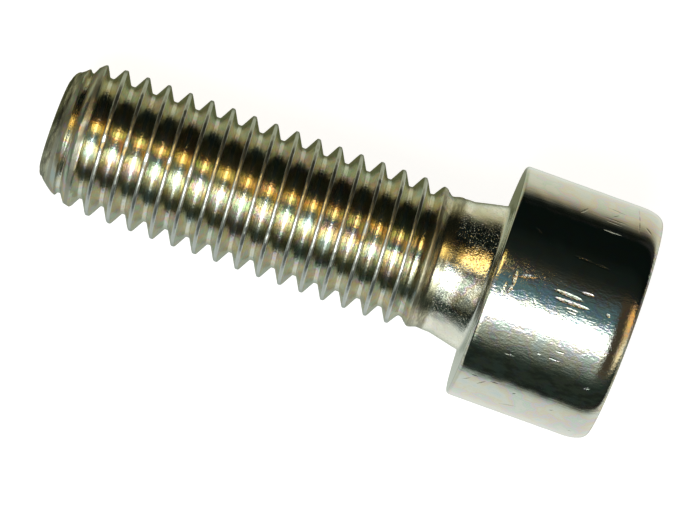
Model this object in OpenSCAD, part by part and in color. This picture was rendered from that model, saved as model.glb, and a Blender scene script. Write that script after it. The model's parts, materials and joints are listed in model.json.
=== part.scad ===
// Hex socket head cap screw, M10 x 1.5, about 30 mm under the head, right-hand
// thread. It is one piece of steel: a cold-headed blank with a punched socket
// and a rolled thread. It lies at rest on a level floor, on the rim under its
// head and on a crest of the thread near its end, with the head towards +X.
// The origin is on the screw's axis, in the middle of the bearing face.

/* [Thread] */
// Major diameter, over the crests
thread_d = 10; // [9.6:0.1:13]
// Pitch, from crest to crest along the axis
pitch = 1.5; // [1:0.05:2]
// Length from the bearing face to the end of the screw
length = 30.3; // [15:0.1:60]
// Diameter of the flat end face
end_d = 6.7; // [5:0.1:7.4]
// Length over which the first crests rise to their full height
lead_l = 4; // [2:0.1:6]
// Length over which the thread fades out into the neck
fade_l = 2.7; // [1.5:0.1:4]
// Angle round the axis, from the underside, at which the thread starts
start_angle = 90; // [0:9:351]

/* [Neck] */
// Diameter of the plain neck, which is that of the blank
neck_d = 9.14; // [8.8:0.02:9.5]
// Length from the bearing face to the end of the thread
neck_l = 2.9; // [2.5:0.1:6]
// Diameter that the neck flares out to at the head
flare_d = 10; // [9.6:0.1:12]
// Length of the flare
flare_l = 2.4; // [1:0.1:2.4]
// Radius of the fillet in the corner under the head
fillet_r = 0.5; // [0.2:0.1:1]

/* [Head] */
// Diameter of the head
head_d = 16; // [14:0.1:20]
// Height of the head
head_h = 9.7; // [9:0.1:14]
// Radius of the rounded edge round the end of the head
end_edge_r = 0.8; // [0.3:0.1:1.3]
// Radius of the small rounded edge round the bearing face
rim_edge_r = 0.25; // [0.1:0.05:0.5]

/* [Socket] */
// Width of the hexagon across its flats
socket_w = 8; // [6:0.1:8.6]
// Depth of the hexagon's walls below the end of the head
socket_depth = 5.5; // [4:0.1:6.5]
// Angle of the conical bottom
bottom_angle = 120; // [110:1:160]
// Width from the flats to the edge of the countersink at the mouth
mouth_w = 1.4; // [1:0.05:2]
// Angle of the countersink
mouth_angle = 120; // [90:1:150]
// Width of the steeper lead-in beyond the flats, which cuts an arc into each
lead_in_w = 0.65; // [0.3:0.05:0.9]
// Angle of the lead-in
lead_in_angle = 60; // [40:1:90]

/* [Hidden] */
steel = [0.75, 0.75, 0.68];
$fn = 96;
// The seam of the revolved head is turned off the line that it rests on.
seam_angle = 2.045;
// How deep the fillet and the shank go into the head, where they are one steel.
sunk = 0.01;
reach = 0.5;

// The form of the thread follows from its pitch: flanks at 60 degrees, crests
// an eighth of the pitch wide, and roots rounded between the flanks.
sharp_h = pitch * sqrt(3) / 2;
root_r = thread_d / 2 - sharp_h * 17 / 24;
root_arc_r = sharp_h / 6;
crest_at = pitch / 16;
flank_at = root_arc_r * cos(30);
flank_rise = root_arc_r * (1 - sin(30)) / (thread_d / 2 - root_r);

// One turn of the profile, from the middle of a root, as points of
// [share of the pitch, share of the height of the thread].
profile = [
  [0, 0],
  [flank_at / pitch, flank_rise],
  [0.5 - crest_at / pitch, 1],
  [0.5 + crest_at / pitch, 1],
  [1 - flank_at / pitch, flank_rise]
];
per_turn = len(profile);
sides = 40;

// Heights of the shank are measured from the end of the screw.
thread_l = length - neck_l;
// Up to this height the end is a plain cone, no wider than the roots.
cone_l = lead_l * (1 - sqrt((thread_d / 2 - root_r) / (thread_d - end_d) * 2));
start_h = cone_l - pitch;
rows = floor((thread_l - start_h) / pitch) * per_turn + 1;

// Share of the way from the full thread to the neck at height h, as a smooth step.
function fade(h) =
  let (t = max(0, min(1, (h - thread_l + fade_l) / fade_l)))
  t * t * (3 - 2 * t);

// Radius over the crests at height h: a parabola up from the end face, then
// the full radius, then down to the neck.
function crest_r_at(h) =
  let (t = max(0, 1 - h / lead_l), full = (thread_d - (thread_d - end_d) * t * t) / 2)
  full + (neck_d / 2 - full) * fade(h);

// Radius in the roots at height h, which follows the cone at the end.
function root_r_at(h) =
  min(root_r + (neck_d / 2 - root_r) * fade(h), crest_r_at(h));

// The rows overrun both ends of the thread by up to a turn. They are drawn
// together there, each still apart from the next.
tail_h = thread_l - pitch / 2;
function drawn_in(h) =
  h < cone_l ? cone_l * exp((h - cone_l) / cone_l) :
  h > tail_h ? thread_l - (thread_l - tail_h) * exp((tail_h - h) / (thread_l - tail_h)) :
  h;

function around(r, h, side) =
  let (angle = start_angle + 360 * side / sides)
  [r * cos(angle), r * sin(angle), h];

// Point of the thread in one row of the profile, on one side of the screw.
function thread_point(row, side) =
  let (
    at = profile[row % per_turn],
    turns = floor(row / per_turn) + at.x + side / sides,
    h = drawn_in(start_h + pitch * turns)
  )
  around(root_r_at(h) + at.y * (crest_r_at(h) - root_r_at(h)), h, side);

// The flare leans out by this angle, and the fillet joins it to the bearing
// face. The fillet is set a hair deep, so that it runs into the face.
flare_slope = atan((flare_d - neck_d) / 2 / flare_l);
fillet_x = flare_d / 2 + fillet_r * (1 - sin(flare_slope)) / cos(flare_slope);
fillet_steps = 5;

// Outline of the neck from the end of the thread to inside the head, as
// [radius, height above the bearing face].
neck_outline = [
  [neck_d / 2, -neck_l],
  [neck_d / 2, -flare_l],
  for (step = [0:fillet_steps])
    let (angle = flare_slope + (90 - flare_slope) * step / fillet_steps)
    [fillet_x - fillet_r * cos(angle), fillet_r * (sin(angle) - 1) + sunk],
  [fillet_x, reach]
];

thread_points = [
  for (side = [0:sides - 1], row = [0:rows - 1]) thread_point(row, side)
];
ring_points = [
  for (p = [[end_d / 2, -length], each neck_outline], side = [0:sides - 1])
    around(p.x, p.y + length, side)
];
first_ring = len(thread_points);

// Lying down, the screw leans on the rounded rim of its head and on the point
// of the thread that the floor meets first.
rim_x = head_d / 2 - rim_edge_r;
rim_h = length + rim_edge_r;
function lean_on(p) =
  atan2(rim_x - p.x, rim_h - p.z) + asin(rim_edge_r / norm([rim_x - p.x, rim_h - p.z]));
lean = min([for (p = thread_points) lean_on(p)]);

// The rolled thread and the neck are one surface. The rows of the thread climb
// the helix, and where the last side meets the first, a row runs on as the row
// one turn further up. Rings close it at both ends.
module shank() {
  last = sides - 1;
  function row_at(row, side) = side * rows + row;
  function ring_at(ring, side) = first_ring + ring * sides + side % sides;
  function quad(a, b, c, d) = [[a, b, c], [a, c, d]];
  threads = [
    for (side = [0:last - 1], row = [0:rows - 2])
      each quad(row_at(row, side), row_at(row + 1, side),
                row_at(row + 1, side + 1), row_at(row, side + 1)),
    for (row = [0:rows - 2 - per_turn])
      each quad(row_at(row, last), row_at(row + 1, last),
                row_at(row + 1 + per_turn, 0), row_at(row + per_turn, 0)),
    for (row = [0:per_turn - 1])
      [row_at(0, last), row_at(row + 1, 0), row_at(row, 0)],
    for (row = [rows - 1 - per_turn:rows - 2])
      [row_at(row, last), row_at(row + 1, last), row_at(rows - 1, 0)]
  ];
  rings = [
    for (side = [0:last])
      let (next = (side + 1) % sides)
      each concat(
        quad(ring_at(0, side), row_at(0, side), row_at(0, next), ring_at(0, next)),
        quad(row_at(rows - 1, side), ring_at(1, side), ring_at(1, next), row_at(rows - 1, next))
      ),
    for (ring = [1:len(neck_outline) - 1], side = [0:last])
      each quad(ring_at(ring, side), ring_at(ring + 1, side),
                ring_at(ring + 1, side + 1), ring_at(ring, side + 1))
  ];
  caps = [
    [for (side = [0:last]) ring_at(0, side)],
    [for (side = [last:-1:0]) ring_at(len(neck_outline), side)]
  ];
  translate([0, 0, -length])
    polyhedron(concat(thread_points, ring_points), concat(threads, rings, caps));
}

// Head, with both its edges rounded.
module head() {
  r = head_d / 2;
  rotate_extrude() {
    square([r - rim_edge_r, head_h - end_edge_r]);
    square([r - end_edge_r, head_h]);
    translate([0, rim_edge_r]) square([r, head_h - end_edge_r - rim_edge_r]);
    translate([r - rim_edge_r, rim_edge_r]) circle(rim_edge_r);
    translate([r - end_edge_r, head_h - end_edge_r]) circle(end_edge_r);
  }
}

// Punched hexagon with a corner at the top, its conical bottom, and the
// countersink and lead-in that take the key in.
module socket() {
  corner_r = socket_w / 2 / cos(30);
  bottom_h = corner_r / tan(bottom_angle / 2);
  floor_h = head_h - socket_depth;
  intersection() {
    translate([0, 0, floor_h - bottom_h]) cylinder(h = head_h, r = corner_r, $fn = 6);
    translate([0, 0, floor_h]) rotate_extrude()
      polygon([[0, -bottom_h], [corner_r, 0], [2 * corner_r, 0], [2 * corner_r, head_h], [0, head_h]]);
  }
  // The lead-in ends a little inside the flats.
  end_r = socket_w / 2 - 0.1;
  lead_in_r = socket_w / 2 + lead_in_w;
  mouth_r = socket_w / 2 + mouth_w;
  lead_in_z = head_h - (mouth_r - lead_in_r) / tan(mouth_angle / 2);
  end_z = lead_in_z - (lead_in_r - end_r) / tan(lead_in_angle / 2);
  rotate_extrude() polygon([
    [0, end_z], [end_r, end_z], [lead_in_r, lead_in_z],
    [mouth_r, head_h], [mouth_r, head_h + 1], [0, head_h + 1]
  ]);
}

module cap_screw() {
  color(steel) rotate([0, 90 - lean, 0]) {
    shank();
    difference() {
      rotate([0, 0, seam_angle]) head();
      socket();
    }
  }
}

cap_screw();
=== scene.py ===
import json
import math

import bpy
import mathutils
import numpy as np
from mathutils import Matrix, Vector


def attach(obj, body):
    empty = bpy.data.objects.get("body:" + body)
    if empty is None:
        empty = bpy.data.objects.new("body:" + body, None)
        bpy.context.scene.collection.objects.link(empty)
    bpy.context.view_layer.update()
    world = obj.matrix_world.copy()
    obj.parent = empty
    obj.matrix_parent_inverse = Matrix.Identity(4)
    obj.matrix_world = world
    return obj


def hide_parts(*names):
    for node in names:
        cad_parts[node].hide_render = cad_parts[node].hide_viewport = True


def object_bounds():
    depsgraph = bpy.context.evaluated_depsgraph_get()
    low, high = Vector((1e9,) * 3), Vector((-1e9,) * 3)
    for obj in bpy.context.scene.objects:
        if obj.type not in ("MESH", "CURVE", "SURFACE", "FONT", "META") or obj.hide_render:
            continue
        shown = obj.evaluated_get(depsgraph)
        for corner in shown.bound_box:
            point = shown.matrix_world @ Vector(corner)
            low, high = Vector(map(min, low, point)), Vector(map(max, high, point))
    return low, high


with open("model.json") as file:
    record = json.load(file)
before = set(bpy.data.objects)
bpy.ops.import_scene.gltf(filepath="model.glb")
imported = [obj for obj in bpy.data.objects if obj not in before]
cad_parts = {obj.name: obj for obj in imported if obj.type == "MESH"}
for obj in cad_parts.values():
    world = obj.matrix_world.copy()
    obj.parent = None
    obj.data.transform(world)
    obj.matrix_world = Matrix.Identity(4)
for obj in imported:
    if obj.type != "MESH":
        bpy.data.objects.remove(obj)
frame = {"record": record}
cad_box = [[float(x) for x in corner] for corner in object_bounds()]

# ---------------------------------------------------------------------------
# Rolled thread. A right-hand M10 x 1.5 thread, rolled into the end of a
# cold-headed steel blank. It starts on a turned-in lead, so the first crests
# are low, and it fades out into the neck under the head.
# ---------------------------------------------------------------------------
# All sizes of the screw are in millimetres, and its own axes are "down",
# "across" and "along", with 0 along at the bearing face under the head.
COLUMNS = 168  # round the screw: every corner of the hexagon lies on one
PITCH = 1.5
PER_TURN = 20
LENGTH = 30.3
CREST_R = 5.0
ROOT_R = 4.08
FLANK_SLOPE = math.tan(math.radians(61))
END_R = 3.35
LEAD_L = 4.0
THREAD_L = 27.4
FADE_L = 2.7
NECK_R = 4.57
START_ANGLE = math.radians(90)
LEAD_ROOT_L = 1.5
ROOT_DROP = 0.45

angles = START_ANGLE + 2 * np.pi * np.arange(COLUMNS) / COLUMNS


def waves(a, b, seed, count=28, longest=1.0, shortest=0.2):
    """Gentle unevenness: the mean of cosine waves in seeded random directions
    over the plane of a and b, with lengths spread evenly between two limits."""
    draw = np.random.default_rng(seed)
    heading = draw.uniform(0, 2 * np.pi, count)
    length = np.exp(draw.uniform(np.log(shortest), np.log(longest), count))
    phase = draw.uniform(0, 2 * np.pi, count)
    total = 0
    for h, l, p in zip(heading, length, phase):
        total = total + np.cos(2 * np.pi * (np.cos(h) * a + np.sin(h) * b) / l + p)
    return total / math.sqrt(count / 2)


def round_place(radius, theta):
    """Place round the screw as an arc in mm that closes on itself: the two
    coordinates of the point on the circle, so waves have no seam."""
    return radius * np.cos(theta), radius * np.sin(theta)


def crest_at(h):
    """Radius over the crests at height h above the end: a parabola up from
    the end face, the full radius, then a smooth step down to the neck."""
    t = np.clip(1 - h / LEAD_L, 0, None)
    full = CREST_R - (CREST_R - END_R) * t * t
    return full + (NECK_R - full) * faded(h)


def faded(h):
    """Share of the way from full thread to neck at height h: the smooth step,
    three times the square of the share climbed less twice its cube."""
    t = np.clip((h - THREAD_L + FADE_L) / FADE_L, 0, 1)
    return t * t * (3 - 2 * t)


def root_at(h):
    """Radius in the roots at height h: it drops in a straight line over the
    lead, rises to the neck, and is never more than over the crests."""
    low = ROOT_R - ROOT_DROP * np.clip(LEAD_ROOT_L - h, 0, None)
    return np.minimum(low + (NECK_R - low) * faded(h), crest_at(h))


def thread_share(t, crest_round=0.07, root_round=0.06):
    """Height of the profile, as a share of its depth, at t of a pitch from
    the middle of a root. It is the straight flank, bent into the level crest
    and the level root by a hyperbola at each."""
    depth = CREST_R - ROOT_R
    from_crest = np.abs(t - 0.5) * PITCH
    flank = depth - (from_crest - PITCH / 15) * FLANK_SLOPE
    below = (flank + depth - np.hypot(flank - depth, crest_round)) / 2
    rounded = (below + np.hypot(below, root_round)) / 2
    return rounded / rounded.max()


# Where the rows of one turn lie, in pitches from the middle of a root.
half_t = np.array([0, 0.045, 0.068, 0.090, 0.120, 0.180, 0.340, 0.398, 0.425, 0.450])
profile_t = np.concatenate([half_t, [0.5], 1 - half_t[:0:-1]])
profile_share = thread_share(profile_t)

FIRST_ROOT_H = LEAD_L * (1 - math.sqrt((CREST_R - ROOT_R) / (CREST_R - END_R)))
CONE_L = 0.45
EDGE_H = 0.10
START_H = FIRST_ROOT_H - 2 * PITCH
TAIL_H = THREAD_L - PITCH / 2
turns = int((THREAD_L - START_H) / PITCH)
rows = turns * PER_TURN + 1

row = np.arange(rows)[:, None]
side = np.arange(COLUMNS)[None, :]
climb = row // PER_TURN + profile_t[row % PER_TURN] + side / COLUMNS
raw_h = START_H + PITCH * climb


def drawn_in(h):
    """Height of a row that overruns an end of the thread: it comes ever
    closer to that end by an exponential, and never reaches it."""
    room = CONE_L - EDGE_H
    low = EDGE_H + room * np.exp(np.minimum(h - CONE_L, 0) / room)
    left = THREAD_L - TAIL_H
    high = THREAD_L - left * np.exp(np.minimum(TAIL_H - h, 0) / left)
    return np.where(h < CONE_L, low, np.where(h > TAIL_H, high, h))


thread_h = drawn_in(raw_h)
share = profile_share[row % PER_TURN] * np.ones_like(thread_h)
full_r = root_at(thread_h) + share * (CREST_R - ROOT_R) * (1 - faded(thread_h))
top_r = crest_at(thread_h)
# The lead cuts the thread off, with a soft corner.
SOFT_CORNER = 0.03
thread_r = (full_r + top_r - np.hypot(full_r - top_r, SOFT_CORNER)) / 2

# The edge of the end is rounded, and the rolling has swelled the first turns.
END_ROUND = 0.25
SWELL_H, SWELL_WIDE, SWELL_UP = 1.6, 0.8, 0.12
thread_r -= END_ROUND * np.clip(1 - thread_h / END_ROUND, 0, None) ** 2
thread_r += SWELL_UP * np.exp(-((thread_h - SWELL_H) / SWELL_WIDE) ** 2)


def degrees_from(at):
    """Degrees round the screw from a place to each column, -180 to 180."""
    return (np.degrees(angles) - at + 180) % 360 - 180


# The rolling also left raised lips, and a dip, on one side of the lead:
# [height above the end, width and rise, in mm].
LIPS = [(0.35, 0.20, 0.12), (0.97, 0.16, 0.30), (1.30, 0.13, -0.30), (1.90, 0.26, 0.17)]
LIP_AT, LIP_SPREAD = 90, 75  # degrees round the screw
lip_side = (degrees_from(LIP_AT) / LIP_SPREAD) ** 2
for at, wide, up in LIPS:
    thread_r += up * np.exp(-((thread_h - at) / wide) ** 2 - lip_side)

# Knocks along the crests, from rubbing against other screws in the box:
# [turn from the end, angle round, width round in degrees, depth].
KNOCKS = [
    (1.5, 176, 5, 0.10), (2.5, 181, 4, 0.12), (3.5, 178, 6, 0.15), (4.5, 184, 5, 0.13),
    (5.5, 180, 4, 0.10), (6.5, 183, 5, 0.08), (3.5, 30, 6, 0.12), (8.5, 75, 8, 0.10),
    (11.5, 120, 5, 0.09), (14.5, 178, 6, 0.12), (9.5, 240, 6, 0.08), (12.5, 300, 7, 0.10),
    (15.5, 20, 6, 0.10), (6.5, 330, 5, 0.09), (10.5, 205, 4, 0.07), (16.5, 260, 6, 0.08),
]
KNOCK_WIDE = 0.22  # along the screw, in mm
for turn, at, wide, deep in KNOCKS:
    middle_h = FIRST_ROOT_H + PITCH * (math.floor(turn) - 0.5 + ((at - 90) % 360) / 360)
    off_along = (thread_h - middle_h) / KNOCK_WIDE
    thread_r -= deep * np.exp(-(degrees_from(at) / wide) ** 2 - off_along ** 2)

# The crests are a little uneven.
GRAIN_UP = 0.008
across_x, across_y = round_place(CREST_R, angles)
grain = waves(across_x * 3 + thread_h, across_y * 3 - thread_h * 0.7, seed=4, longest=3, shortest=0.7)
thread_r += GRAIN_UP * grain * share
thread_along = thread_h - LENGTH

# ---------------------------------------------------------------------------
# End face, neck and head. The blank is upset into the head in a die, so the
# neck flares into it, its outer edge is rounded, and the ring round the socket
# is left grainy by the punch.
# ---------------------------------------------------------------------------
HEAD_R = 8.0
HEAD_H = 9.7
EDGE_DOWN = 1.5
EDGE_IN = 0.6
RIM_R = 0.25
NECK_L = LENGTH - THREAD_L
FLARE_L = 2.4
FLARE_R = 5.0
FILLET_R = 0.5
MOUTH_R = 5.4


def arc(centre, radii, start, end, steps):
    """Points of an ellipse's arc as [radius, along], from one angle to
    another, with the angle turning from outwards to the head end."""
    turn = np.radians(np.linspace(start, end, steps))
    return np.stack([centre[0] + radii[0] * np.cos(turn),
                     centre[1] + radii[1] * np.sin(turn)], axis=1)


def line(start, end, steps, ends=(False, False)):
    """Evenly spaced points between two [radius, along] points, each as much
    of one as it is near it. An end point is left out unless it is asked for."""
    t = np.linspace(0, 1, steps + 2)[(0 if ends[0] else 1):(None if ends[1] else -1), None]
    return np.array(start) * (1 - t) + np.array(end) * t


end_outline = np.concatenate([
    line((0.25, -LENGTH + 0.05), (2.98, -LENGTH), 6, (True, False)),
    arc((2.98, -LENGTH + 0.14), (0.25, 0.14), -90, -20, 4),
])
slope = math.degrees(math.atan2(FLARE_R - NECK_R, FLARE_L))
fillet_x = FLARE_R + FILLET_R
neck_outline = np.concatenate([
    [[NECK_R, -NECK_L + 0.02]],
    line((NECK_R, -NECK_L), (NECK_R, -FLARE_L), 3),
    line((NECK_R, -FLARE_L), (FLARE_R, -FILLET_R), 12, (True, False)),
    arc((fillet_x, -FILLET_R), (FILLET_R, FILLET_R), 180 - slope, 90, 6),
])
head_outline = np.concatenate([
    line((fillet_x, 0), (HEAD_R - RIM_R, 0), 5),
    arc((HEAD_R - RIM_R, RIM_R), (RIM_R, RIM_R), -90, 0, 6),
    line((HEAD_R, RIM_R), (HEAD_R, HEAD_H - EDGE_DOWN), 44),
    arc((HEAD_R - EDGE_IN, HEAD_H - EDGE_DOWN), (EDGE_IN, EDGE_DOWN), 0, 90, 14),
    [[7.33, HEAD_H - 0.015], [7.2, HEAD_H - 0.05]],
    line((7.2, HEAD_H - 0.05), (MOUTH_R + 0.12, HEAD_H - 0.03), 10),
    arc((MOUTH_R + 0.1, HEAD_H - 0.13), (0.1, 0.1), 90, 150, 4),
])

# ---------------------------------------------------------------------------
# Hex socket. A hexagonal punch, 8 mm across its flats, is driven into the
# head while it is cold. A countersink and a steeper lead-in take the key in,
# and the punch's pointed end leaves a shallow cone at the bottom.
# ---------------------------------------------------------------------------
HEX_HALF = 4.0
HEX_CORNER = HEX_HALF / math.cos(math.radians(30))
LEAD_IN_R = 4.65
MOUTH_TAN = math.tan(math.radians(60))
LEAD_IN_TAN = math.tan(math.radians(30))
SOCKET_DEPTH = 5.5
BOTTOM_TAN = math.tan(math.radians(60))

# How far from the axis the hexagon's wall is at each column.
hex_r = HEX_HALF / np.cos((angles % (np.pi / 3)) - np.pi / 6)
lead_in_z = HEAD_H - (MOUTH_R - LEAD_IN_R) / MOUTH_TAN


def socket_bottom(radius):
    """Height of the conical bottom at a distance from the axis."""
    return HEAD_H - SOCKET_DEPTH - (HEX_CORNER - radius) / BOTTOM_TAN


ones = np.ones(COLUMNS)
wall_top = lead_in_z - (LEAD_IN_R - hex_r) / LEAD_IN_TAN
wall_low = socket_bottom(hex_r)
socket_rows = []
for t in (0.12, 0.35, 0.65, 0.92):
    radius = MOUTH_R + (LEAD_IN_R - MOUTH_R) * t
    socket_rows.append((radius * ones, (HEAD_H - (MOUTH_R - radius) / MOUTH_TAN) * ones))
for t in (0.06, 0.3, 0.6, 0.9):
    socket_rows.append((LEAD_IN_R + (hex_r - LEAD_IN_R) * t, lead_in_z + (wall_top - lead_in_z) * t))
for t in (0.02, 0.06, 0.25, 0.45, 0.65, 0.85, 0.97, 0.995):
    socket_rows.append((hex_r, wall_top + (wall_low - wall_top) * t))
for t in (0.985, 0.95, 0.8, 0.65, 0.5, 0.35, 0.2):
    socket_rows.append((hex_r * t, socket_bottom(hex_r * t)))
for radius, lift in ((0.55, 0.0), (0.45, -0.03), (0.25, -0.05), (0.08, -0.06)):
    socket_rows.append((radius * ones, (socket_bottom(radius) + lift) * ones))

# ---------------------------------------------------------------------------
# The screw as one closed skin of forged and rolled steel, zinc plated: the
# end face, the thread, the neck, the head and the socket follow each other as
# rows of points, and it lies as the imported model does.
# ---------------------------------------------------------------------------
along_axis = next(m["axis"] for m in frame["record"]["mounts"] if m["name"] == "head_end")
LEAN = math.atan2(along_axis[2], along_axis[0])


def ring_rows(outline):
    """Rows of radius and height for a plain outline turned round the axis."""
    return [(r * ones, z * ones) for r, z in outline]


def skin(rings_low, rings_high):
    """Points as [down, across, along] in mm and the faces between them. Rows
    of the thread climb the helix: where the last column meets the first, a
    row runs on as the row one turn further up. Plain rings close both ends."""
    radius = [r for r, _ in rings_low] + list(thread_r) + [r for r, _ in rings_high]
    height = [z for _, z in rings_low] + list(thread_along) + [z for _, z in rings_high]
    radius, height = np.array(radius), np.array(height)
    points = np.stack([radius * np.cos(angles), radius * np.sin(angles), height], axis=2)
    total, low = len(radius), len(rings_low)
    index = np.arange(total * COLUMNS).reshape(total, COLUMNS)

    def quads(a, b, c, d):
        return np.stack([x.ravel() for x in (a, b, c, d)], axis=1)

    nxt = np.roll(index, -1, axis=1)
    top = low + rows - 1
    plain = [(0, low), (top, total - 1)]
    faces = [quads(index[a:b], index[a + 1:b + 1], nxt[a + 1:b + 1], nxt[a:b]) for a, b in plain]
    faces.append(quads(index[low:top, :-1], index[low + 1:top + 1, :-1],
                       index[low + 1:top + 1, 1:], index[low:top, 1:]))
    last, first = index[low:top + 1, -1], index[low:top + 1, 0]
    faces.append(quads(last[:-1 - PER_TURN], last[1:-PER_TURN],
                       first[1 + PER_TURN:], first[PER_TURN:-1]))
    start = np.stack([np.full(PER_TURN, last[0]), first[1:PER_TURN + 1], first[:PER_TURN]], axis=1)
    finish = np.stack([last[-1 - PER_TURN:-1], last[-PER_TURN:],
                       np.full(PER_TURN, first[-1])], axis=1)
    points = points.reshape(-1, 3)
    ends = np.array([[0, 0, height[0].mean()], [0, 0, height[-1].mean()]])
    count = len(points)
    caps = [np.stack([index[0], nxt[0], np.full(COLUMNS, count)], axis=1),
            np.stack([nxt[-1], index[-1], np.full(COLUMNS, count + 1)], axis=1)]
    points = np.concatenate([points, ends])
    return points, np.concatenate(faces), np.concatenate([start, finish, *caps])


points, quad_faces, tri_faces = skin(
    ring_rows(end_outline), ring_rows(neck_outline) + ring_rows(head_outline) + socket_rows)

# The neck and the head are a little uneven, as forged metal is.
radius = np.hypot(points[:, 0], points[:, 1])
turn = np.arctan2(points[:, 1], points[:, 0])
outside = (points[:, 2] > -NECK_L - 1) & (radius > 4.2) & (points[:, 2] < HEAD_H - 0.3)
on_neck = outside & (points[:, 2] < -0.3)
on_side = outside & (points[:, 2] > 0.3) & (radius > HEAD_R - 0.7)
lump = waves(*(p + points[:, 2] for p in round_place(HEAD_R, turn)), seed=9, longest=5, shortest=1.2)
NECK_LUMP, SIDE_LUMP = 0.006, 0.002  # in mm
swell = 1 + (NECK_LUMP * lump * on_neck + SIDE_LUMP * lump * on_side) / np.maximum(radius, 1)
points[:, :2] *= swell[:, None]


def lying(local):
    """Turns [down, across, along] in mm into the lying screw's place in m."""
    c, s = math.cos(LEAN), math.sin(LEAN)
    down, across, along = local.T / 1000
    return np.stack([along * c + down * s, across, along * s - down * c], axis=1)


mesh = bpy.data.meshes.new("cap_screw_skin")
mesh.from_pydata(lying(points), [], quad_faces.tolist() + tri_faces.tolist())
mesh.validate()
rise = np.full(len(points), 0.5)
first_row = len(end_outline) * COLUMNS
rise[first_row:first_row + share.size] = share.ravel()
mesh.attributes.new("thread_rise", "FLOAT", "POINT").data.foreach_set("value", rise)
SHARP_FROM = math.radians(38)  # edges that turn by more than this aren't smoothed
mesh.shade_smooth()
mesh.set_sharp_from_angle(angle=SHARP_FROM)
screw = bpy.data.objects.new("cap_screw_body", mesh)
bpy.context.collection.objects.link(screw)
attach(screw, "root")
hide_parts("cap_screw")


class Bench:
    """Adds nodes to one tree. A socket given for an input is linked to it, and
    anything else is set on it as its value."""

    def __init__(self, tree):
        self.tree = tree

    def node(self, kind, inputs=(), **settings):
        """A shader node of one kind, with its settings and its inputs."""
        made = self.tree.nodes.new("ShaderNode" + kind)
        for name, value in settings.items():
            setattr(made, name, value)
        for name, value in dict(inputs).items():
            self.feed(made.inputs[name], value)
        return made

    def feed(self, socket, value):
        """Links a socket to an input, or sets the value on it."""
        if isinstance(value, bpy.types.NodeSocket):
            self.tree.links.new(value, socket)
        else:
            socket.default_value = value

    def math(self, operation, *values, clamp=False):
        """The result of one Math node."""
        inputs = dict(enumerate(values))
        return self.node("Math", inputs, operation=operation, use_clamp=clamp).outputs[0]

    def dot(self, vector, axis):
        """How far a vector reaches along an axis."""
        inputs = {0: vector, 1: axis}
        return self.node("VectorMath", inputs, operation="DOT_PRODUCT").outputs["Value"]

    def step(self, value, start, end, low=0.0, high=1.0, smooth=True):
        """Goes from low to high as the value goes from start to end."""
        kind = "SMOOTHSTEP" if smooth else "LINEAR"
        inputs = {"Value": value, "From Min": start, "From Max": end,
                  "To Min": low, "To Max": high}
        return self.node("MapRange", inputs, interpolation_type=kind).outputs["Result"]

    def mix(self, share, a, b, blend="MIX"):
        """Colour a, blended with colour b by a share."""
        inputs = {0: share, 6: a, 7: b}
        return self.node("Mix", inputs, data_type="RGBA", blend_type=blend).outputs[2]

    def ramp(self, value, stops):
        """Colours at stops of [value, colour], with an even change between."""
        made = self.node("ValToRGB", {0: value})
        bar = made.color_ramp.elements
        while len(bar) < len(stops):
            bar.new(1.0)
        for mark, (at, colour) in zip(bar, stops):
            mark.position = at
            mark.color = (*colour, 1)
        return made.outputs["Color"]


plating = bpy.data.materials.new("zinc_plating")
plating.use_nodes = True
bench = Bench(plating.node_tree)
bsdf = plating.node_tree.nodes["Principled BSDF"]
bsdf.inputs["Metallic"].default_value = 1

# Place on the screw in mm: along it, across it and up from its axis.
in_place = bench.node("TexCoord").outputs["Object"]
own_axes = bench.node("Mapping", {"Vector": in_place, "Rotation": (0, LEAN, 0),
                                  "Scale": (1000, 1000, 1000)})
spot = own_axes.outputs["Vector"]
along, across, up = bench.node("SeparateXYZ", {0: spot}).outputs
from_axis = bench.math("SQRT", bench.math("ADD", bench.math("MULTIPLY", across, across),
                                          bench.math("MULTIPLY", up, up)))
turn_angle = bench.math("ARCTAN2", bench.math("MULTIPLY", across, -1), up)
rise = bench.node("Attribute", attribute_name="thread_rise").outputs["Fac"]


def noise(lengths, detail=2.0, roughness=0.55, twist=0.0):
    """Noise from 0 to 1 with these wavelengths along, across and up, in mm."""
    stretched = bench.node("Mapping", {"Vector": spot, "Scale": tuple(1 / l for l in lengths)})
    inputs = {"Vector": stretched.outputs[0], "Scale": 1.0, "Detail": detail,
              "Roughness": roughness, "Distortion": twist}
    return bench.node("TexNoise", inputs).outputs["Fac"]


def times(*values):
    """The product of sockets and numbers."""
    total = values[0]
    for value in values[1:]:
        total = bench.math("MULTIPLY", total, value)
    return total


def plus(*values):
    """The sum of sockets and numbers."""
    total = values[0]
    for value in values[1:]:
        total = bench.math("ADD", total, value)
    return total


def less(value):
    """What is left of 1, so the places where a mask is not."""
    return bench.math("SUBTRACT", 1.0, value)


def centred(value):
    """A noise from 0 to 1, moved so that its middle is at 0."""
    return bench.math("SUBTRACT", value, 0.5)


# Where each kind of surface is, as masks from 0 to 1.
threaded = bench.step(along, -3.4, -4.2)
run_out = times(bench.step(along, -5.0, -4.2), bench.step(along, -2.8, -3.1))
tip = bench.step(along, -29.4, -29.8)
over_lead = bench.math("MULTIPLY_ADD", along, -0.45, from_axis)
lip = times(bench.step(along, -27.4, -27.8), bench.step(over_lead, 17.10, 17.22), less(tip))
neck = times(bench.step(along, -3.2, -2.9), bench.step(along, -0.1, -0.3))
head = bench.step(along, -0.1, 0.1)
socket = times(bench.step(from_axis, 5.38, 5.32), bench.step(along, 0.5, 1.0))
end_ring = times(bench.step(along, 9.50, 9.58), less(socket))
side = times(head, less(socket), less(end_ring), bench.step(from_axis, 6.9, 7.2))
crest = times(threaded, bench.step(rise, 0.86, 0.97))
root = times(threaded, bench.step(rise, 0.10, 0.03))

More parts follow.
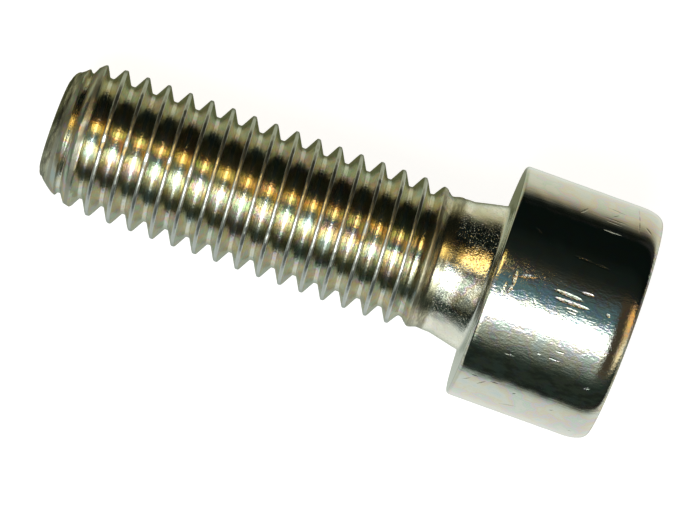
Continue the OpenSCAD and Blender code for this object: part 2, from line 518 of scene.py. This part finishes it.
# The colour of the plating: each kind of surface is laid over the last.
colour = (0.57, 0.60, 0.55, 1)
for where, metal in ((threaded, (0.65, 0.66, 0.51, 1)), (root, (0.85, 0.86, 0.79, 1)),
                     (neck, (0.92, 0.92, 0.81, 1)), (crest, (0.54, 0.57, 0.54, 1)),
                     (plus(tip, run_out), (0.50, 0.48, 0.34, 1)), (lip, (0.42, 0.42, 0.34, 1))):
    colour = bench.mix(where, colour, metal)

# Stains and dirt: on the end and the run-out, in the grooves of the thread, on
# two sides of the neck, and as small pits over the neck.
STAIN = (0.13, 0.12, 0.08, 1)
GROOVE_DIRT = (0.30, 0.30, 0.24, 1)
BLACK_DIRT = (0.05, 0.05, 0.042, 1)
PIT_DIRT = (0.16, 0.16, 0.13, 1)
rolled = noise((0.10, 0.40, 0.40), detail=3)
streaks = noise((0.25, 1.6, 1.6), detail=4, roughness=0.6)
stained = times(plus(tip, times(run_out, 0.6)), bench.step(streaks, 0.42, 0.60),
                bench.step(from_axis, 2.7, 3.1, 0.3, 1.0))
colour = bench.mix(stained, colour, STAIN)
grooves = noise((0.07, 0.9, 0.9), detail=2)
grooved = times(threaded, less(crest), bench.step(grooves, 0.50, 0.66, 0.0, 0.45))
colour = bench.mix(grooved, colour, GROOVE_DIRT)
flare_dirt = times(bench.step(along, -2.2, -1.5), bench.step(along, -0.1, -0.4),
                   bench.step(turn_angle, -0.04, 0.02), bench.step(turn_angle, 0.66, 0.58))
neck_dirt = times(bench.step(along, -3.1, -2.9), bench.step(along, -1.9, -2.3),
                  bench.step(turn_angle, -0.50, -0.42), bench.step(turn_angle, -0.02, -0.06))
specks = bench.step(noise((0.11, 0.11, 0.11), detail=3, roughness=0.6), 0.42, 0.64, 1.0, 0.72)
colour = bench.mix(times(plus(flare_dirt, times(neck_dirt, 0.9)), specks), colour, BLACK_DIRT)
pits = bench.step(noise((0.12, 0.12, 0.12), detail=3, roughness=0.6), 0.52, 0.60, 0.0, 0.85)
pitted = times(neck, pits, bench.step(turn_angle, -0.75, -0.60), bench.step(turn_angle, 0.80, 0.65))
colour = bench.mix(pitted, colour, PIT_DIRT)

# The faint tints of the thin clear film over the zinc, by how thick it is.
FILM = [
    (0.00, (.40, .56, .58)), (0.25, (.60, .61, .50)), (0.40, (.60, .58, .34)),
    (0.50, (.64, .50, .20)), (0.57, (.66, .40, .36)), (0.64, (.54, .44, .60)),
    (0.75, (.36, .58, .36)), (0.90, (.60, .61, .50)),
]
film = bench.step(noise((1.6, 1.6, 1.6), detail=3), 0.30, 0.70, smooth=False)
tint = bench.ramp(film, FILM)
share_of_film = plus(times(threaded, less(crest), less(tip), 0.5), times(end_ring, 0.5),
                     times(neck, 0.15), times(socket, 0.15), times(side, 0.30), 0.03)
colour = bench.mix(share_of_film, colour, tint)

# Marks on the side of the head, from other screws and from tools. Each is a
# shallow lens-shaped cut: [along and turn in degrees of its start, the same of
# its end, width and depth in mm, dirt left in it].
MARKS = [
    (0.1, -11.6, 0.1, -3.3, 0.16, 0.020, 0), (1.3, -8.4, 1.4, -1.0, 0.15, 0.022, 0),
    (1.4, -1.0, 1.2, 2.7, 0.13, 0.020, 0), (1.5, -6.0, 2.6, -8.1, 0.14, 0.018, 0),
    (1.0, -1.9, 0.9, 4.1, 0.12, -0.012, 0), (4.0, -5.7, 6.0, -5.1, 0.15, 0.034, 0),
    (4.2, -2.3, 6.5, -2.3, 0.15, 0.034, 0), (5.7, -8.7, 6.5, -8.9, 0.13, 0.032, 0),
    (7.7, -2.8, 7.9, -2.6, 0.12, 0.015, 0), (3.0, 2.1, 3.2, 4.1, 0.10, 0.012, 0),
    (5.1, 0.4, 5.9, 0.6, 0.08, 0.012, 0), (5.3, 1.8, 5.8, 2.0, 0.08, 0.012, 0),
    (1.6, -31.3, 2.1, -29.2, 0.10, 0.013, 0), (4.5, -24.3, 5.9, -24.0, 0.12, 0.012, 0),
    (5.9, -24.0, 7.0, -23.4, 0.10, 0.012, 0), (5.8, -44.3, 7.1, -44.4, 0.08, 0.020, 0),
    (5.7, -62.1, 7.1, -60.8, 0.06, 0.008, 0.4), (5.7, -52.9, 7.2, -52.9, 0.07, 0.010, 0.5),
    (5.8, -50.8, 6.9, -50.5, 0.06, 0.008, 0.5), (4.1, -49.9, 4.5, -54.7, 0.09, 0.010, 0.5),
    (6.2, -54.7, 6.6, -58.2, 0.06, 0.008, 0.5), (7.8, -74.4, 7.9, -65.2, 0.05, 0.006, 0.4),
    (7.9, -65.2, 8.0, -59.2, 0.06, 0.008, 0.5), (8.0, -59.2, 8.1, -50.7, 0.07, 0.010, 0.6),
    (8.5, -56.1, 8.9, -52.9, 0.10, 0.012, 0.5), (0.5, 56.5, 1.0, 52.9, 0.05, 0.006, 0.4),
    (1.5, 56.0, 2.0, 51.5, 0.06, 0.008, 0.5), (3.3, 67.5, 4.5, 63.8, 0.06, 0.008, 0.6),
    (8.2, 70.1, 8.5, 69.8, 0.07, 0.008, 0.6), (1.0, 50.1, 1.4, 50.1, 0.07, 0.012, 0.6),
    (2.3, 50.5, 2.8, 50.1, 0.07, 0.012, 0.6), (5.2, 25.4, 5.9, 25.4, 0.07, 0.014, 0),
    (4.4, 25.2, 4.6, 25.2, 0.08, 0.014, 0), (2.4, 30.9, 3.1, 30.7, 0.08, 0.012, 0),
    (5.5, 21.1, 6.0, 20.9, 0.07, 0.012, 0), (8.0, 34.5, 8.4, 33.7, 0.08, 0.016, 0),
    (6.5, 56.5, 6.8, 55.2, 0.06, 0.008, 0.4), (3.9, 54.0, 4.1, 52.4, 0.06, 0.008, 0.4),
]
round_arc = times(turn_angle, HEAD_R)
cuts, dirt = 0.0, 0.0
for along_a, turn_a, along_b, turn_b, wide, deep, soil in MARKS:
    arc_a, arc_b = math.radians(turn_a) * HEAD_R, math.radians(turn_b) * HEAD_R
    at = ((along_a + along_b) / 2, (arc_a + arc_b) / 2)
    heading = math.atan2(arc_b - arc_a, along_b - along_a)
    reach = math.hypot(along_b - along_a, arc_b - arc_a) / 2 + wide / 2
    # How far along and across the cut a place is, each 1 at its edge.
    over = []
    for x, y in ((math.cos(heading) / reach, math.sin(heading) / reach),
                 (-math.sin(heading) / wide, math.cos(heading) / wide)):
        part = bench.math("MULTIPLY_ADD", round_arc, y, -x * at[0] - y * at[1])
        part = bench.math("MULTIPLY_ADD", along, x, part)
        over.append(part)
    off = bench.math("MULTIPLY_ADD", over[0], over[0], times(over[1], over[1]))
    within = bench.math("SUBTRACT", 1.0, off, clamp=True)
    cuts = bench.math("MULTIPLY_ADD", within, deep, cuts)
    if soil:
        dirt = bench.math("MULTIPLY_ADD", within, soil, dirt)
cuts, dirt = times(cuts, side), times(dirt, side)
patches = bench.step(noise((0.9, 0.45, 0.45), detail=4, roughness=0.65), 0.42, 0.62, 0.0, 0.55)
patched = times(patches, side, bench.step(turn_angle, 0.50, 0.62), bench.step(turn_angle, 0.92, 0.82))
dirt = plus(dirt, patched)
colour = bench.mix(dirt, colour, PIT_DIRT)
bench.feed(bsdf.inputs["Base Color"], colour)

# Fine relief in mm, all of it too shallow to show in the outline.
fleck = noise((0.14, 0.14, 0.14), detail=3, roughness=0.6)
drawn = noise((1.2, 0.14, 0.14), detail=3, roughness=0.6)
rubbed = noise((0.50, 0.20, 0.20), detail=3, roughness=0.6)
grit = noise((0.08, 0.08, 0.08), detail=2)
peel = noise((0.35, 0.35, 0.35), detail=2)
worn = times(side, bench.step(turn_angle, -0.36, -0.18), bench.step(turn_angle, 0.75, 0.45))
height = plus(
    times(centred(drawn), times(side, 0.003)),
    times(centred(rubbed), times(worn, 0.012)),
    times(centred(fleck), plus(
        times(worn, 0.010), times(threaded, 0.011), times(root, 0.003),
        times(crest, 0.004), times(tip, 0.012), times(end_ring, 0.030))),
    times(centred(grit), plus(times(neck, 0.015), times(run_out, 0.010))),
    times(bench.step(grit, 0.62, 0.78), plus(times(neck, 0.02), times(threaded, less(crest), 0.004))),
    times(centred(rolled), plus(times(threaded, 0.004), times(run_out, 0.008), times(tip, 0.012))),
    times(centred(peel), plus(times(end_ring, 0.04), times(neck, 0.005))),
    times(cuts, -1, bench.step(fleck, 0.35, 0.6, 0.5, 1.3)))
relief = bench.node("Bump", {"Height": height, "Distance": 0.001, "Strength": 1.0})
bench.feed(bsdf.inputs["Normal"], relief.outputs[0])

# Smooth where the tools pressed the metal, rougher where it was left free.
cut_metal = bench.step(cuts, 0.0, 0.006)
rough = plus(0.08, times(threaded, 0.04), times(crest, 0.16), times(plus(tip, run_out), 0.13),
             times(lip, 0.20), times(end_ring, 0.12), times(socket, 0.06), times(cut_metal, 0.06),
             times(fleck, 0.03))
bench.feed(bsdf.inputs["Roughness"], rough)
mesh.materials.append(plating)

# ---------------------------------------------------------------------------
# Floor. A plain white sheet that shows white and keeps the screw's soft shadow.
# In the plating's reflections it shows a painted pool of light near the screw,
# with a painted shadow under it.
# ---------------------------------------------------------------------------
FLOOR_HALF = 4.0
floor_z = cad_box[0][2]
floor_mesh = bpy.data.meshes.new("floor_sheet")
corners = [(-1, -1), (1, -1), (1, 1), (-1, 1)]
floor_mesh.from_pydata([(FLOOR_HALF * x, FLOOR_HALF * y, floor_z) for x, y in corners],
                       [], [(0, 1, 2, 3)])
floor = bpy.data.objects.new("floor_sheet", floor_mesh)
bpy.context.collection.objects.link(floor)

paper = bpy.data.materials.new("white_paper")
paper.use_nodes = True
bench = Bench(paper.node_tree)
paper_bsdf = paper.node_tree.nodes["Principled BSDF"]
paper_bsdf.inputs["Roughness"].default_value = 0.9
paper_bsdf.inputs["Specular IOR Level"].default_value = 0
ray = bench.node("LightPath").outputs
in_place = bench.node("TexCoord").outputs["Object"]
# Painted light: how bright the sheet looks in the plating, by how far it is
# across from the screw's axis, in m. It is a painted pool of light round the
# screw, with a painted shadow in a narrow strip under it, and it falls away
# past the screw's ends too.
SHEET_REACH = 0.2
PAINTED_SHEET_GLOW = [
    (-0.200, (.03, .04, .035)), (-0.110, (.30, .33, .31)), (-0.062, (.78, .82, .80)),
    (-0.036, (.93, .95, .94)), (-0.0115, (.97, .98, .95)), (-0.0085, (.62, .67, .60)),
    (0.0, (.26, .28, .20)), (0.0075, (.16, .17, .09)), (0.0105, (.90, .94, .88)),
    (0.0135, (.90, .91, .82)), (0.0194, (.90, .88, .77)), (0.0276, (.85, .80, .67)),
    (0.042, (.50, .46, .36)), (0.060, (.18, .165, .13)), (0.080, (.05, .05, .04)),
    (0.110, (.015, .018, .014)), (0.200, (.005, .007, .006)),
]
on_sheet = bench.node("SeparateXYZ", {0: in_place}).outputs
past_ends = bench.step(bench.math("ABSOLUTE", bench.math("ADD", on_sheet[0], 0.010)), 0.10, 0.045)
painted_sheet_glow = bench.ramp(bench.step(on_sheet[1], -SHEET_REACH, SHEET_REACH, smooth=False),
                 [((y + SHEET_REACH) / (2 * SHEET_REACH), level) for y, level in PAINTED_SHEET_GLOW])
# Beside the thread the painted glow is duller, a painted shade, and yellower
# on the +Y side, a painted warm light.
PAINTED_SHADE_MINUS_Y, PAINTED_WARM_SHADE_PLUS_Y = (0.78, 0.80, 0.79, 1), (0.66, 0.67, 0.55, 1)
by_thread = bench.step(on_sheet[0], 0.002, -0.004)
painted_thread_shade = bench.mix(bench.step(on_sheet[1], -0.005, 0.005), PAINTED_SHADE_MINUS_Y, PAINTED_WARM_SHADE_PLUS_Y)
painted_sheet_glow = bench.mix(by_thread, painted_sheet_glow, bench.mix(1.0, painted_sheet_glow, painted_thread_shade, "MULTIPLY"))
painted_pool = bench.mix(past_ends, (0.03, 0.03, 0.03, 1), painted_sheet_glow)
sheet_white = (0.4, 0.4, 0.4, 1)
# For reflections the sheet is black and shows only its painted glow; for the camera it is plain white.
bench.feed(paper_bsdf.inputs["Base Color"], bench.mix(ray["Is Glossy Ray"], sheet_white, (0, 0, 0, 1)))
bench.feed(paper_bsdf.inputs["Emission Color"], bench.mix(ray["Is Glossy Ray"], (1, 1, 1, 1), painted_pool))
glow = bench.math("ADD", bench.math("MULTIPLY", ray["Is Camera Ray"], 0.90), ray["Is Glossy Ray"])
bench.feed(paper_bsdf.inputs["Emission Strength"], glow)
floor_mesh.materials.append(paper)

# ---------------------------------------------------------------------------
# Light. The room has a bright band over the screw on the -Y side and is dark
# above +Y. Four low strip lamps hang over the thread: two warm ones inside each
# other on the +Y side, and a white and a faint one on the -Y side.
# ---------------------------------------------------------------------------
room = bpy.data.worlds.new("room")
bpy.context.scene.world = room
room.use_nodes = True
bench = Bench(room.node_tree)
background = room.node_tree.nodes["Background"]
looking = bench.node("TexCoord").outputs["Generated"]
up_axis = (-math.sin(LEAN), 0, math.cos(LEAN))
head_axis = (math.cos(LEAN), 0, math.sin(LEAN))
DEGREE = math.pi / 180
# Degrees from straight over the screw towards -Y, and towards its head end.
side_arc = bench.math("ARCTAN2", bench.dot(looking, (0, -1, 0)), bench.dot(looking, up_axis))
side_angle = bench.math("DIVIDE", side_arc, DEGREE)
end_angle = bench.math("DIVIDE", bench.math("ARCSINE", bench.dot(looking, head_axis)), DEGREE)

BRIGHTEST = 6.0
# The room's light at those degrees towards -Y.
BAND = [
    (-90, (.004, .007, .006)), (-60, (.005, .008, .007)), (-48, (.010, .015, .013)),
    (-36, (.014, .019, .017)), (-31, (.022, .026, .022)), (-25, (.035, .039, .033)),
    (-19, (.06, .065, .060)), (-13, (.10, .135, .145)), (-7.6, (.11, .20, .24)),
    (-1.9, (.10, .21, .265)), (3.8, (.16, .30, .37)), (9.5, (.55, .80, .90)),
    (14.5, (6, 6, 6)), (26, (6, 6, 6)), (30, (1.8, 1.9, 1.9)), (33, (1.0, 1.12, 1.12)),
    (39, (.72, .79, .79)), (45, (.46, .50, .46)), (51, (.30, .325, .29)),
    (58, (.09, .11, .095)), (66, (.035, .048, .04)), (90, (.03, .043, .037)),
]


def dimmed(level):
    """A light's colour as a share of the brightest."""
    return tuple(c / BRIGHTEST for c in level)


band_place = bench.step(side_angle, -90, 90, smooth=False)
band = bench.ramp(band_place, [((deg + 90) / 180, dimmed(level)) for deg, level in BAND])
# The band is dull where the flare of the neck looks, back over the thread.
past_end = times(bench.step(end_angle, -9, -16), bench.step(side_angle, 2, 10),
                 bench.step(side_angle, 62, 50))
band = bench.mix(past_end, band, (*dimmed((.42, .42, .30)), 1))
# Past the head it is a dark brown, with warm glows further round.
past_head = times(bench.step(end_angle, 7, 16), bench.step(side_angle, -34, -22),
                  bench.step(side_angle, 62, 50))
band = bench.mix(past_head, band, (*dimmed((.08, .06, .04)), 1))
far_end = times(bench.step(end_angle, 35, 52), bench.step(end_angle, 85, 75))
# Each glow is [its first and last degree towards -Y, its light].
GLOWS = [(-28, 52, (.75, .58, .34)), (-24, 2, (1.5, .80, .22)), (26, 48, (1.6, 1.35, .95))]
GLOW_EDGE = 5
for low, high, level in GLOWS:
    glow = times(far_end, bench.step(side_angle, low - GLOW_EDGE, low + GLOW_EDGE),
                 bench.step(side_angle, high + GLOW_EDGE, high - GLOW_EDGE))
    band = bench.mix(glow, band, (*dimmed(level), 1))
# Towards both ends it is dark above +Y and light on the -Y side.
ENDS = [
    (0.0, (0.02, 0.02, 0.02)), (0.3, (0.01, 0.01, 0.01)), (0.5, (0.05, 0.045, 0.035)),
    (0.62, (0.17, 0.17, 0.17)), (0.8, (0.08, 0.08, 0.08)), (1.0, (0.12, 0.12, 0.10)),
]
ends = bench.step(bench.math("ABSOLUTE", end_angle), 66, 78)
end_level = bench.ramp(bench.step(side_angle, -100, 100, smooth=False), ENDS)
band = bench.mix(ends, band, end_level)
bench.feed(background.inputs["Color"], band)
background.inputs["Strength"].default_value = BRIGHTEST
seen = bench.node("Background", {"Color": (1, 1, 1, 1), "Strength": 1.0})
ray = bench.node("LightPath").outputs
shown = bench.node("MixShader", {0: ray["Is Camera Ray"], 1: background.outputs[0], 2: seen.outputs[0]})
out = room.node_tree.nodes["World Output"]
room.node_tree.links.new(shown.outputs[0], out.inputs["Surface"])


def hang_lamp(name, middle, size, level, colour):
    """Rectangular lamp over the screw, facing it, its long side along it. Its
    middle is [along, across, up] from the screw's zero and its size is [along,
    across], in m; level is the brightness of its face."""
    data = bpy.data.lights.new(name, "AREA")
    data.shape = "RECTANGLE"
    data.size, data.size_y = size
    data.energy = level * math.pi * size[0] * size[1]
    data.color = colour
    lamp = bpy.data.objects.new(name, data)
    lamp.visible_camera = False
    bpy.context.collection.objects.link(lamp)
    ahead, over = mathutils.Vector(head_axis), mathutils.Vector(up_axis)
    sideways = over.cross(ahead)
    turned = mathutils.Matrix((ahead, sideways, over)).transposed().to_4x4()
    turned.translation = middle[0] * ahead + middle[1] * sideways + middle[2] * over
    lamp.matrix_world = turned


LAMP_H = 0.06  # over the screw's axis, in m
LAMP_ALONG, LAMP_L = -0.0285, 0.051
# Each lamp is [name, the degrees from straight over towards +Y of its two long
# edges, how far it hangs below the others in m, level, colour].
LAMPS = [
    ("warm_lamp", 9, 27, 0, 1.8, (1.0, 0.60, 0.14)),
    ("warm_core", 15, 21, 0.001, 3.2, (1.0, 0.78, 0.34)),
    ("white_lamp", -11, -37, 0, 2.9, (1.0, 1.0, 1.0)),
    ("faint_lamp", -39, -54, 0, 0.75, (0.94, 1.0, 0.90)),
]
for name, first, last, lower, level, tone in LAMPS:
    near, far = (LAMP_H * math.tan(math.radians(edge)) for edge in (first, last))
    middle = (LAMP_ALONG, (near + far) / 2, LAMP_H - lower)
    hang_lamp(name, middle, (LAMP_L, abs(far - near)), level, tone)

# ---------------------------------------------------------------------------
# Camera, looking square at the screw's axis from above, and turned so that
# the head is at the lower right.
# ---------------------------------------------------------------------------
camera_data = bpy.data.cameras.new("camera")
camera_data.sensor_width = 36
camera_data.lens = 201
camera = bpy.data.objects.new("camera", camera_data)
bpy.context.collection.objects.link(camera)
bpy.context.scene.camera = camera
# Where it is and what it looks at, as [down, across, along] in mm.
EYE, TARGET = (-258.8, -2.01, -11.79), (0, -2.01, -8.86)
HEAD_DOWN = math.radians(19.8)  # how far the picture turns the head end down
eye = lying(np.array([EYE]))[0]
target = lying(np.array([TARGET]))[0]
back = (eye - target) / np.linalg.norm(eye - target)
along_dir = lying(np.array([[0, 0, 1000.0]]))[0]
across_dir = np.array([0, 1.0, 0])
up = -math.sin(HEAD_DOWN) * along_dir + math.cos(HEAD_DOWN) * across_dir
up -= back * (up @ back)
up /= np.linalg.norm(up)
right = np.cross(up, back)
matrix = mathutils.Matrix.Identity(4)
for i in range(3):
    matrix[i] = right[i], up[i], back[i], eye[i]
camera.matrix_world = matrix
camera_data.clip_start, camera_data.clip_end = 0.01, 10

bpy.context.scene.view_settings.view_transform = "Standard"
